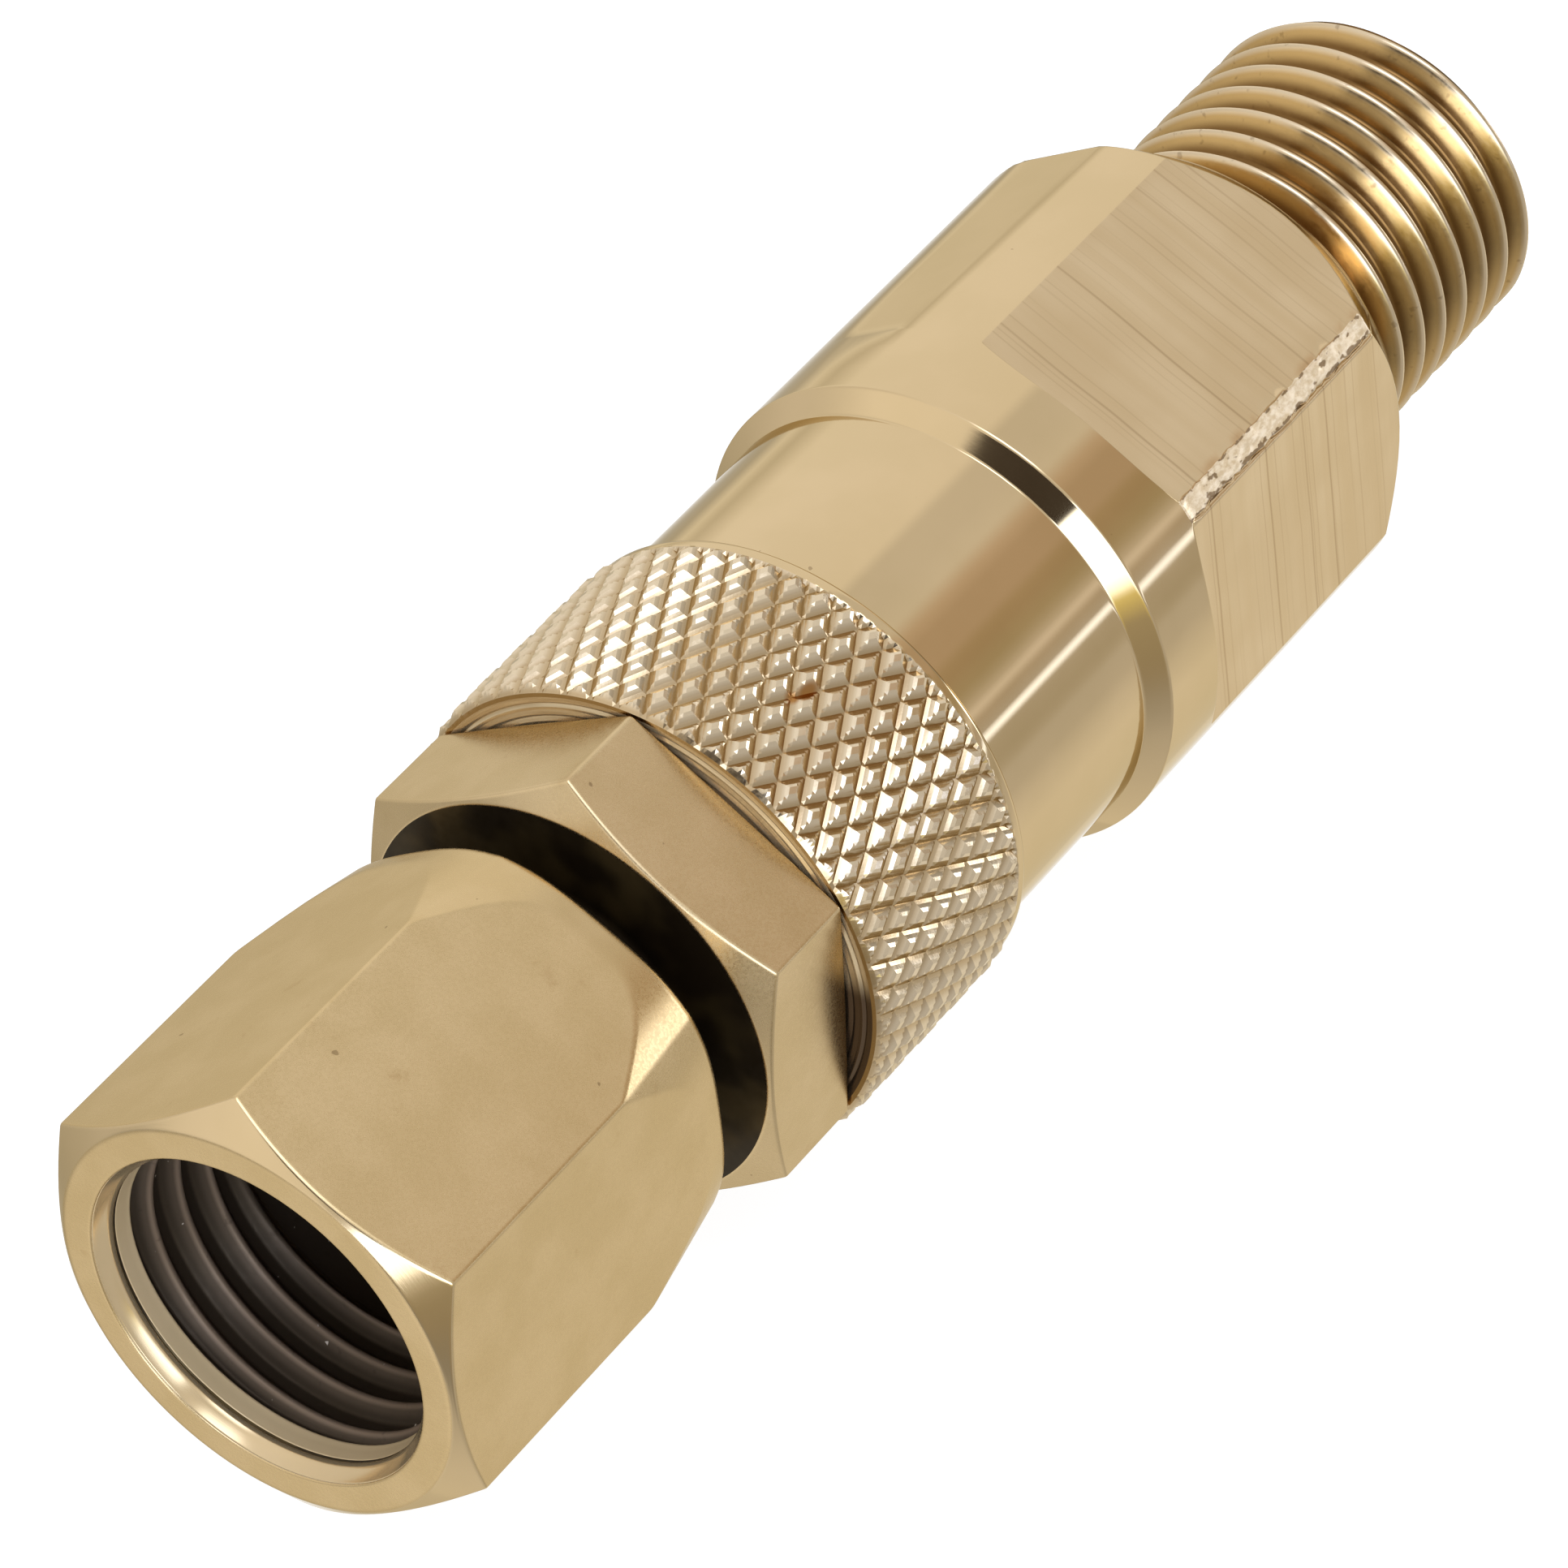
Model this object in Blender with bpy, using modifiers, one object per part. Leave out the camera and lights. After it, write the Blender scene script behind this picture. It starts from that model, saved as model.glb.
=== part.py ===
"""In-line hose swivel joint: a loose hex union nut on a turned spindle, a thin
wrench hex, a knurled retaining collar, and a barrel body with four milled flats
and a male pipe thread.  Metres, +Z up.  The swivel lies on its side with its
axis along +X, union nut towards -X, male thread towards +X, and the origin on
the surface it lies on, below the middle of its length."""
import math
import bpy
from mathutils import Matrix, Vector

# ---------------------------------------------------------------- dimensions
MM = 0.001
LENGTH = 70.4            # mouth of the nut to the end of the male thread
AXIS_Z = 9.6             # height of the swivel's axis above the surface
STEPS = 36               # facets round every turned piece
UNROUND = 1.0 / math.cos(math.pi / STEPS)   # facets touch the true circle

BARREL_R = 9.6           # body barrel
NECK_R = 8.86            # body neck between collar and step
BODY_AF = 17.0           # two pairs of milled wrench flats on the barrel
BODY_FLAT_TURN = -22.7   # where the first flat looks, degrees from +Z to +Y
GRAZE_AF = 18.8          # the third pair, where the cutter only grazed
GRAZE_TURN = 33.6
COLLAR_R = 9.55          # over the knurl
THREAD_R = 6.85          # male thread, over its crests (M14)
PASSAGE_R = 3.0          # fluid passage right through

HEX_AF = 16.2            # thin hex on the spindle
HEX_TURN = 2.2           # a corner of it, degrees from +Z to +Y
NUT_AF = 15.7            # union nut
NUT_TURN = 6.3           # a corner of it
NUT_MINOR_R = 6.1        # crests of the nut's internal thread

BALLS = 16
BALL_R = 1.0
BALL_PITCH_R = 6.15
BALL_S = 26.3            # centre of the ball ring along the axis
GROOVE_R = BALL_R + 0.12
RACE_OFF = 0.7           # from the balls' centre to each race's flat face

SEAL_GROOVES = ((32.6, 35.2), (36.4, 39.0))
SEAL_FLOOR_R = 3.85
SEAL_R = 4.95            # spindle in the seal bore
SEAL_BORE_R = 5.2


def wipe():
    for ob in list(bpy.data.objects):
        bpy.data.objects.remove(ob, do_unlink=True)
    for me in list(bpy.data.meshes):
        if me.users == 0:
            bpy.data.meshes.remove(me)


wipe()
parts = bpy.data.collections.new("swivel_joint")
bpy.context.scene.collection.children.link(parts)
tools = bpy.data.collections.new("cutters")
bpy.context.scene.collection.children.link(tools)


# ----------------------------------------------------------------- materials
def material(name, rgb, rough, metal):
    mat = bpy.data.materials.new(name)
    mat.use_nodes = True
    sh = mat.node_tree.nodes["Principled BSDF"]
    sh.inputs["Base Color"].default_value = (rgb[0], rgb[1], rgb[2], 1.0)
    sh.inputs["Roughness"].default_value = rough
    sh.inputs["Metallic"].default_value = metal
    mat.diffuse_color = (rgb[0], rgb[1], rgb[2], 1.0)
    return mat


SATIN = material("satin_nickel", (0.62, 0.49, 0.30), 0.34, 1.0)
BRIGHT = material("bright_nickel", (0.66, 0.52, 0.33), 0.20, 1.0)
STEEL = material("bearing_steel", (0.60, 0.60, 0.60), 0.15, 1.0)
RUBBER = material("nitrile", (0.02, 0.02, 0.02), 0.60, 0.0)
PTFE = material("ptfe", (0.85, 0.84, 0.80), 0.45, 0.0)
BRONZE = material("bronze", (0.55, 0.33, 0.13), 0.35, 1.0)


# -------------------------------------------------------------------- helpers
AXIS = bpy.data.objects.new("swivel_axis", None)
AXIS.location = (0.0, 0.0, AXIS_Z * MM)
parts.objects.link(AXIS)

# the turned profiles are drawn as (station, radius) and revolved about local Z,
# which this turn lays along +X with a facet at the bottom
LAY = Matrix.Rotation(math.radians(90), 4, "Y") @ Matrix.Rotation(math.pi / STEPS, 4, "Z")


def along(s):
    """Station s, in mm from the nut's mouth, as metres along local Z."""
    return (s - LENGTH / 2.0) * MM


def place(ob, coll=parts):
    coll.objects.link(ob)
    if coll is parts:
        ob.parent = AXIS
        ob.matrix_parent_inverse = Matrix.Identity(4)
    return ob


def ccw(profile):
    """The profile as a loop that runs down its outer side."""
    area = 0.0
    for (s0, r0), (s1, r1) in zip(profile, profile[1:] + profile[:1]):
        area += r0 * s1 - r1 * s0
    return profile if area < 0.0 else list(reversed(profile))


def turned(name, profile, mat, coll=parts, steps=STEPS):
    """A closed ring section (station, radius in mm) revolved about the axis."""
    pts = ccw(list(profile))
    me = bpy.data.meshes.new(name)
    n = len(pts)
    me.from_pydata([(r * MM, 0.0, along(s)) for s, r in pts], [(i, (i + 1) % n) for i in range(n)], [])
    ob = bpy.data.objects.new(name, me)
    place(ob, coll)
    ob.matrix_basis = LAY.copy()
    if mat:
        me.materials.append(mat)
    sc = ob.modifiers.new("revolve", "SCREW")
    sc.axis = "Z"
    sc.angle = 2.0 * math.pi
    sc.steps = steps
    sc.render_steps = steps
    sc.use_merge_vertices = True
    sc.merge_threshold = 0.00001
    sc.use_smooth_shade = True
    return ob


def cutter(ob):
    ob.hide_render = True
    ob.display_type = "WIRE"
    return ob


def hex_prism(name, across, s0, s1, turn):
    """A hexagonal bar along the axis, one corner `turn` degrees from +Z to +Y."""
    bpy.ops.mesh.primitive_cylinder_add(vertices=6, radius=across / math.sqrt(3.0) * MM,
                                        depth=(s1 - s0) * MM, location=(0, 0, 0))
    ob = bpy.context.object
    for c in list(ob.users_collection):
        c.objects.unlink(ob)
    ob.name = name
    tools.objects.link(ob)
    # the primitive has a corner on local +Y; lay local Z on +X, then turn it
    ob.matrix_world = (Matrix.Translation((along((s0 + s1) / 2.0), 0.0, AXIS_Z * MM))
                       @ Matrix.Rotation(math.radians(-turn), 4, "X")
                       @ Matrix.Rotation(math.radians(90), 4, "X")
                       @ Matrix.Rotation(math.radians(90), 4, "Y"))
    return cutter(ob)


def flat_tool(name, half_af, s0, s1, look, wide=14.0, deep=4.0):
    """A milling cut: a block whose near face lies half_af from the axis and looks
    back at it, centred on the direction `look` degrees from +Z to +Y."""
    bpy.ops.mesh.primitive_cube_add(size=1.0, location=(0, 0, 0))
    ob = bpy.context.object
    for c in list(ob.users_collection):
        c.objects.unlink(ob)
    ob.name = name
    tools.objects.link(ob)
    ob.matrix_world = (Matrix.Translation((0.0, 0.0, AXIS_Z * MM))
                       @ Matrix.Rotation(math.radians(-look), 4, "X")
                       @ Matrix.Translation((along((s0 + s1) / 2.0), 0.0, (half_af + deep / 2.0) * MM))
                       @ Matrix.Diagonal(((s1 - s0) * MM, wide * MM, deep * MM, 1.0)))
    return cutter(ob)


def cut(ob, tool, how="DIFFERENCE"):
    b = ob.modifiers.new(tool.name, "BOOLEAN")
    b.operation = how
    b.object = tool
    b.solver = "EXACT"
    return b


def arc(cs, cr, rad, a0, a1, n):
    """Points on a circle in the (station, radius) plane; angle 0 is +station."""
    out = []
    for i in range(n + 1):
        a = math.radians(a0 + (a1 - a0) * i / n)
        out.append((cs + rad * math.cos(a), cr + rad * math.sin(a)))
    return out


def ring(name, s0, s1, r0, r1, mat, chamfer=0.0):
    c = chamfer
    prof = [(s0, r0 + c), (s0, r1 - c), (s0 + c, r1), (s1 - c, r1), (s1, r1 - c), (s1, r0 + c),
            (s1 - c, r0), (s0 + c, r0)] if c else [(s0, r0), (s0, r1), (s1, r1), (s1, r0)]
    return turned(name, prof, mat)


# ------------------------------------------------------------------ union nut
# flat ring at the mouth, chamfered corners, long taper at the back where the
# skirt is rolled in behind the slip ring
nut = turned("swivel_nut", [
    (0.0, 6.55), (0.0, 7.65), (1.05, 9.15), (9.5, 9.15), (15.45, 7.85),
    (15.45, 5.4), (13.7, 5.4), (13.7, 6.7), (7.9, 6.7), (7.4, NUT_MINOR_R),
    (1.5, NUT_MINOR_R), (0.7, 6.35)], SATIN)
cut(nut, hex_prism("nut_hex", NUT_AF, -1.0, 17.0, NUT_TURN), "INTERSECT")

# split slip ring between the spindle's flange and the rolled-in lip
ring("slip_ring", 12.35, 13.45, 5.0, 6.4, BRONZE, 0.15)

# -------------------------------------------------------------------- spindle
half_groove = math.sqrt(GROOVE_R ** 2 - RACE_OFF ** 2)
edge = math.degrees(math.atan2(half_groove, RACE_OFF))
flange_s = BALL_S + RACE_OFF
hexes = [(17.3, 4.7), (17.55, 4.95), (17.55, 8.0), (18.13, 9.45), (21.27, 9.45), (21.83, 8.0)]
spindle_profile = (
    [(7.9, PASSAGE_R + 0.25), (7.9, 3.55), (11.3, 5.5), (11.45, 5.75), (12.1, 5.75), (12.1, 4.7)]
    + hexes
    + [(21.83, 4.9), (flange_s, 4.9)]
    + arc(BALL_S, BALL_PITCH_R, GROOVE_R, -edge, edge, 6)
    + [(flange_s, 7.1), (29.2, 7.1), (29.2, SEAL_R)]
    + [(SEAL_GROOVES[0][0], SEAL_R), (SEAL_GROOVES[0][0], SEAL_FLOOR_R),
       (SEAL_GROOVES[0][1], SEAL_FLOOR_R), (SEAL_GROOVES[0][1], SEAL_R)]
    + [(SEAL_GROOVES[1][0], SEAL_R), (SEAL_GROOVES[1][0], SEAL_FLOOR_R),
       (SEAL_GROOVES[1][1], SEAL_FLOOR_R), (SEAL_GROOVES[1][1], SEAL_R)]
    + [(39.8, SEAL_R), (40.2, 4.6), (40.2, PASSAGE_R), (8.15, PASSAGE_R)])
spindle = turned("spindle", spindle_profile, SATIN)
for k in range(6):
    cut(spindle, flat_tool("hex_flat_%d" % (k + 1), HEX_AF / 2.0, 17.4, 21.98,
                           HEX_TURN + 30.0 + 60.0 * k))

# -------------------------------------------------------------- collar and body
cr_ = COLLAR_R * UNROUND
turned("knurled_collar", [
    (22.1, 6.6), (22.1, 9.13), (22.55, cr_), (30.95, cr_), (31.1, 9.4), (31.1, 8.5),
    (24.0, 8.5), (24.0, 5.25), (23.1, 5.25), (23.1, 6.6)], BRIGHT)

br_ = BARREL_R * UNROUND
body = turned("body", [
    (24.3, 7.4), (24.3, 7.95), (24.55, 8.2), (31.25, 8.2), (31.25, NECK_R), (39.55, NECK_R),
    (40.25, br_), (56.05, br_), (58.05, 8.05), (58.05, 6.95), (57.7, 6.05), (59.1, 6.05), (59.9, THREAD_R),
    (69.5, THREAD_R), (70.4, 5.95), (70.4, 4.4), (68.0, PASSAGE_R), (40.9, PASSAGE_R), (40.9, SEAL_BORE_R),
    (30.6, SEAL_BORE_R), (30.6, 7.4)], BRIGHT)
for k, turn in enumerate((0.0, -60.0, 180.0, 120.0)):
    cut(body, flat_tool("body_flat_%d" % (k + 1), BODY_AF / 2.0, 43.4, 59.0,
                        BODY_FLAT_TURN + turn))
for k in range(2):
    cut(body, flat_tool("body_graze_%d" % (k + 1), GRAZE_AF / 2.0, 43.5, 59.0,
                        GRAZE_TURN + 180.0 * k))

# --------------------------------------------------------------------- bearing
race_face = BALL_S - RACE_OFF
turned("front_race", (
    [(24.25, 5.2), (24.25, 7.15), (race_face, 7.15)]
    + list(reversed(arc(BALL_S, BALL_PITCH_R, GROOVE_R, 180.0 - edge, 180.0 + edge, 6)))[::-1]
    + [(race_face, 5.2)]), STEEL)

bpy.ops.mesh.primitive_uv_sphere_add(segments=12, ring_count=8, radius=BALL_R * MM, location=(0, 0, 0))
first = bpy.context.object
ball_mesh = first.data
for p in ball_mesh.polygons:
    p.use_smooth = True
ball_mesh.materials.append(STEEL)
bpy.data.objects.remove(first, do_unlink=True)
for k in range(BALLS):
    a = 2.0 * math.pi * (k + 0.5) / BALLS
    ob = bpy.data.objects.new("ball_%02d" % (k + 1), ball_mesh)
    place(ob)
    ob.location = Vector((along(BALL_S), BALL_PITCH_R * MM * math.sin(a), BALL_PITCH_R * MM * math.cos(a)))
    ob.rotation_euler = (-a, 0.0, 0.0)

ring("rear_thrust_washer", 29.45, 30.35, 5.25, 7.1, BRONZE)

# ----------------------------------------------------------------------- seals
ring("wiper_ring", 22.3, 22.9, 5.15, 6.35, RUBBER, 0.12)
for i, (g0, g1) in enumerate(SEAL_GROOVES, 1):
    ring("backup_ring_%d" % i, g0 + 0.15, g0 + 0.85, SEAL_FLOOR_R + 0.1, SEAL_BORE_R - 0.1, PTFE)
    tube = 0.6
    cs = g0 + 1.7
    cr = (SEAL_FLOOR_R + SEAL_BORE_R) / 2.0
    turned("o_ring_%d" % i, arc(cs, cr, tube, 0.0, 330.0, 11), RUBBER)
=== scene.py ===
"""The looks of the hose swivel joint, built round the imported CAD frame.

Lengths below are in millimetres along and about the swivel's axis: s is the
station from the union nut's mouth, r the radius, and an angle a is measured
about the axis from straight up towards +Y.  at() turns them into metres."""
import math
import bpy
import bmesh
import numpy as np
from mathutils import Matrix, Vector


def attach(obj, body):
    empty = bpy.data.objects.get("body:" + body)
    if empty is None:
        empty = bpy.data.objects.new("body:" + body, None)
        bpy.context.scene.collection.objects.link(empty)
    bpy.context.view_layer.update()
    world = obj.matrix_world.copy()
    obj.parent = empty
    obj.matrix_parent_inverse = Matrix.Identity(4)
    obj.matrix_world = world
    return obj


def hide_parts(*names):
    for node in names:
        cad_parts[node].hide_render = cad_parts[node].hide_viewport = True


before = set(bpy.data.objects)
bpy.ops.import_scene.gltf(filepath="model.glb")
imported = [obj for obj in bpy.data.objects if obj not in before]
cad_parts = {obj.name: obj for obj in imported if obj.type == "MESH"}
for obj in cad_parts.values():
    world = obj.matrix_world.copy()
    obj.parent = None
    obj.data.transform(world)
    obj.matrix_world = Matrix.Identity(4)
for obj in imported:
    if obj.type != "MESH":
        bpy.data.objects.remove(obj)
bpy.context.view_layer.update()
scene = bpy.context.scene

MM = 0.001
HALF = 35.2                # half the length: station of the frame's origin
AXIS_Z = 9.6               # the axis is this high above the floor
TAU = 2.0 * math.pi


# ------------------------------------------------------------------ mesh tools
def at(s, r, a):
    return ((s - HALF) * MM, r * np.sin(a) * MM, (AXIS_Z + r * np.cos(a)) * MM)


def section(points, cuts, k=3, runs=None, reach=0.05, closed=True):
    """A profile with each corner i cut back by cuts[i] and turned through k + 1
    points, and a point near each end of every run, so that smooth shading stays
    flat between them; runs={i: m} adds m even points to run i, None adds none.
    Profiles with the same lists get the same point count."""
    n = len(points)
    P = [np.array(p, float) for p in points]
    arcs = []
    for i in range(n):
        c = cuts[i]
        if c is None:
            arcs.append([P[i]])
            continue
        a, b = P[i - 1] - P[i], P[(i + 1) % n] - P[i]
        la, lb = max(np.hypot(*a), 1e-9), max(np.hypot(*b), 1e-9)
        d = min(c, 0.42 * la, 0.42 * lb)
        p0, p2 = P[i] + a / la * d, P[i] + b / lb * d
        arcs.append([(1 - t) ** 2 * p0 + 2 * t * (1 - t) * P[i] + t * t * p2 for t in np.linspace(0, 1, k + 1)])
    out = []
    for i in range(n):
        out += arcs[i]
        m = (runs or {}).get(i, 0)
        if m is None or (i == n - 1 and not closed):
            continue
        p, q = arcs[i][-1], arcs[(i + 1) % n][0]
        h = min(reach / max(np.hypot(*(q - p)), 1e-9), 0.25)
        out += [p + (q - p) * t for t in [h] + [h + (1 - 2 * h) * (j + 1) / (m + 1) for j in range(m)] + [1 - h]]
    return out


def build(name, rows, smooth=True, wrap=True, weld=True):
    """Rows of points (each row an array of x, y, z per column) as one closed
    skin.  wrap joins the last row to the first.  Columns run once round, and
    the last column repeats the first so that a helix can step a pitch there."""
    V = np.array(rows, float)
    nr, nc = V.shape[0], V.shape[1]
    idx = np.arange(nr * nc).reshape(nr, nc)
    nxt = np.roll(idx, -1, axis=0) if wrap else idx[1:]
    cur = idx if wrap else idx[:-1]
    quads = np.stack([cur[:, :-1], nxt[:, :-1], nxt[:, 1:], cur[:, 1:]], axis=-1).reshape(-1, 4)
    me = bpy.data.meshes.new(name)
    me.from_pydata(V.reshape(-1, 3).tolist(), [], quads.tolist())
    if weld:
        bm = bmesh.new()
        bm.from_mesh(me)
        bmesh.ops.remove_doubles(bm, verts=bm.verts, dist=2e-7)
        bmesh.ops.dissolve_degenerate(bm, edges=bm.edges, dist=1e-8)
        bm.to_mesh(me)
        bm.free()
    me.polygons.foreach_set("use_smooth", [smooth] * len(me.polygons))
    me.update()
    ob = bpy.data.objects.new(name, me)
    scene.collection.objects.link(ob)
    return ob


def turned(name, profile, cuts, columns=120, k=3, reach=0.05, runs=None):
    pts = section(profile, cuts, k, runs, reach)
    a = np.linspace(0, TAU, columns + 1)
    rows = [np.stack(at(np.full_like(a, s), r, a), axis=-1) for s, r in pts]
    return build(name, rows)


def slots_by(ob, mats, pick):
    """Gives each face the material index pick(s, r, a) says, from its centre."""
    for m in mats:
        ob.data.materials.append(m)
    n = len(ob.data.polygons)
    c = np.zeros(n * 3)
    ob.data.polygons.foreach_get("center", c)
    c = c.reshape(-1, 3)
    s = c[:, 0] / MM + HALF
    y, z = c[:, 1] / MM, c[:, 2] / MM - AXIS_Z
    nrm = np.zeros(n * 3)
    ob.data.polygons.foreach_get("normal", nrm)
    index = pick(s, np.hypot(y, z), np.arctan2(y, z), nrm.reshape(-1, 3))
    ob.data.polygons.foreach_set("material_index", index.astype(np.int32))
    ob.data.update()


def hex_radius(a, across, turn, soft, crown=0.06):
    """Radius of a hexagon with a corner at turn, its corners rounded to soft
    and its flats crowned by the polishing."""
    h = across / 2.0
    d = (a - turn + math.pi / 6) % (math.pi / 3) - math.pi / 6      # from a corner
    off = math.pi / 6 - np.abs(d)
    flat = (h + crown * (0.5 - (np.tan(off) / math.tan(math.pi / 6)) ** 2)) / np.cos(off)
    mid = (h - crown * 0.5 - soft) / math.cos(math.pi / 6)
    root = soft * soft - (mid * np.sin(d)) ** 2
    arc = mid * np.cos(d) + np.sqrt(np.maximum(root, 0.0))
    edge = math.atan2(soft * 0.5, mid + soft * math.cos(math.pi / 6))
    return np.where(np.abs(d) < edge, np.minimum(flat, arc), flat)


def hex_columns(turn, soft_deg, step=3.0):
    """Angles once round, close together at each corner of a hexagon."""
    near = [0.0, 0.33 * soft_deg, 0.66 * soft_deg, soft_deg, 1.35 * soft_deg, 2.6 * soft_deg]
    rest = np.linspace(2.6 * soft_deg, 30.0, max(2, int(round((30.0 - 2.6 * soft_deg) / step)) + 1))[1:]
    half = near + list(rest)
    one = half + [60.0 - x for x in half[-2:0:-1]]
    out = [math.degrees(turn) + 60.0 * k + x for k in range(6) for x in one]
    out = np.radians(np.array(sorted(out)))
    return np.append(out, out[0] + TAU)


def thread_shape(p, crest, root):
    """1 on a thread's crest and 0 in its root, at phase p in pitches."""
    q = np.abs((p + 0.5) % 1.0 - 0.5)
    t = (0.5 - root - q) / (0.5 - root - crest)
    t = np.clip(t, -0.3, 1.3)
    # rounded where the flanks meet the crest and the root
    w = 0.10
    up = 1.0 - (np.sqrt((1.0 - t) ** 2 + w * w) + (1.0 - t)) / 2.0
    return (np.sqrt(up * up + w * w * 0.6) + up) / 2.0


PHASES = (0.0, 0.05, 0.09, 0.125, 0.18, 0.24, 0.30, 0.355, 0.40, 0.44, 0.5,
          0.56, 0.60, 0.645, 0.70, 0.76, 0.82, 0.875, 0.91, 0.95)


# ------------------------------------------------------------------- materials
NICKEL = (0.66, 0.495, 0.282)


class Graph:
    """A small helper for writing a material's nodes in a few lines."""

    def __init__(self, name):
        self.mat = bpy.data.materials.new(name)
        self.mat.use_nodes = True
        self.t = self.mat.node_tree
        self.sh = self.t.nodes["Principled BSDF"]
        co = self.t.nodes.new("ShaderNodeTexCoord")
        move = self.t.nodes.new("ShaderNodeVectorMath")
        move.operation = "SUBTRACT"
        move.inputs[1].default_value = (0.0, 0.0, AXIS_Z * MM)
        self.t.links.new(co.outputs["Object"], move.inputs[0])
        self.xyz = move.outputs[0]                       # about the axis, metres
        sep = self.t.nodes.new("ShaderNodeSeparateXYZ")
        self.t.links.new(self.xyz, sep.inputs[0])
        self.x, self.y, self.z = sep.outputs
        self.angle = self.math("ARCTAN2", self.y, self.z)
        self.radius = self.math("SQRT", self.math("ADD", self.math("MULTIPLY", self.y, self.y),
                                                  self.math("MULTIPLY", self.z, self.z)))

    def put(self, socket, value):
        if hasattr(value, "is_output"):
            self.t.links.new(value, socket)
        else:
            socket.default_value = value

    def math(self, op, a, b=0.0, c=None, clamp=False):
        n = self.t.nodes.new("ShaderNodeMath")
        n.operation = op
        n.use_clamp = clamp
        self.put(n.inputs[0], a)
        self.put(n.inputs[1], b)
        if c is not None:
            self.put(n.inputs[2], c)
        return n.outputs[0]

    def stretch(self, sx, sr, sa):
        """(along the axis, round it, outward) times these, for bands and turned marks."""
        n = self.t.nodes.new("ShaderNodeCombineXYZ")
        self.put(n.inputs[0], self.math("MULTIPLY", self.x, sx))
        self.put(n.inputs[1], self.math("MULTIPLY", self.radius, sr))
        self.put(n.inputs[2], self.math("MULTIPLY", self.angle, sa))
        return n.outputs[0]

    def scaled(self, sx, sy, sz):
        n = self.t.nodes.new("ShaderNodeVectorMath")
        n.operation = "MULTIPLY"
        self.put(n.inputs[0], self.xyz)
        n.inputs[1].default_value = (sx, sy, sz)
        return n.outputs[0]

    def noise(self, vec, scale, detail=2.0, rough=0.5, w=0.0):
        n = self.t.nodes.new("ShaderNodeTexNoise")
        n.noise_dimensions = "4D"
        self.put(n.inputs["Vector"], vec)
        n.inputs["W"].default_value = w
        n.inputs["Scale"].default_value = scale
        n.inputs["Detail"].default_value = detail
        n.inputs["Roughness"].default_value = rough
        return n.outputs["Fac"]

    def lines(self, w, scale, lo, hi):
        """Thin lines at uneven steps along w, 1 in the middle of a line."""
        n = self.t.nodes.new("ShaderNodeTexVoronoi")
        n.voronoi_dimensions = "1D"
        n.feature = "DISTANCE_TO_EDGE"
        self.put(n.inputs["W"], w)
        n.inputs["Scale"].default_value = scale
        return self.span(n.outputs["Distance"], lo, hi)

    def span(self, v, lo, hi, a=0.0, b=1.0, smooth=True):
        n = self.t.nodes.new("ShaderNodeMapRange")
        n.interpolation_type = "SMOOTHSTEP" if smooth else "LINEAR"
        self.put(n.inputs["Value"], v)
        for key, x in (("From Min", lo), ("From Max", hi), ("To Min", a), ("To Max", b)):
            self.put(n.inputs[key], x)
        return n.outputs["Result"]

    def mix(self, f, a, b):
        n = self.t.nodes.new("ShaderNodeMix")
        n.data_type = "RGBA"
        self.put(n.inputs[0], f)
        for sock, v in ((n.inputs[6], a), (n.inputs[7], b)):
            self.put(sock, (*v, 1.0) if isinstance(v, tuple) and len(v) == 3 else v)
        return n.outputs[2]

    def bump(self, height, strength, distance, normal=None):
        n = self.t.nodes.new("ShaderNodeBump")
        n.inputs["Strength"].default_value = strength
        n.inputs["Distance"].default_value = distance
        self.put(n.inputs["Height"], height)
        if normal is not None:
            self.put(n.inputs["Normal"], normal)
        return n.outputs[0]

    def spot(self, s, a_deg, r, size, along=1.0):
        """1 inside a soft blot at a place on the swivel, 0 outside; size in mm."""
        a = math.radians(a_deg)
        n = self.t.nodes.new("ShaderNodeVectorMath")
        n.operation = "SUBTRACT"
        self.put(n.inputs[0], self.xyz)
        n.inputs[1].default_value = ((s - HALF) * MM, r * math.sin(a) * MM, r * math.cos(a) * MM)
        m = self.t.nodes.new("ShaderNodeVectorMath")
        m.operation = "MULTIPLY"
        self.put(m.inputs[0], n.outputs[0])
        m.inputs[1].default_value = (1.0 / along, 1.0, 1.0)
        d = self.t.nodes.new("ShaderNodeVectorMath")
        d.operation = "LENGTH"
        self.put(d.inputs[0], m.outputs[0])
        return self.span(d.outputs["Value"], size * MM, 0.35 * size * MM)

    def done(self, color, rough, metal=1.0, normal=None, edge=(0.78, 0.73, 0.60)):
        self.put(self.sh.inputs["Base Color"], (*color, 1.0) if isinstance(color, tuple) else color)
        self.put(self.sh.inputs["Roughness"], rough)
        self.sh.inputs["Metallic"].default_value = metal
        if edge is not None:
            self.sh.inputs["Specular Tint"].default_value = (*edge, 1.0)
        if normal is not None:
            self.put(self.sh.inputs["Normal"], normal)
        return self.mat


def tint(c, k):
    return tuple(x * y for x, y in zip(c, k))


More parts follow.
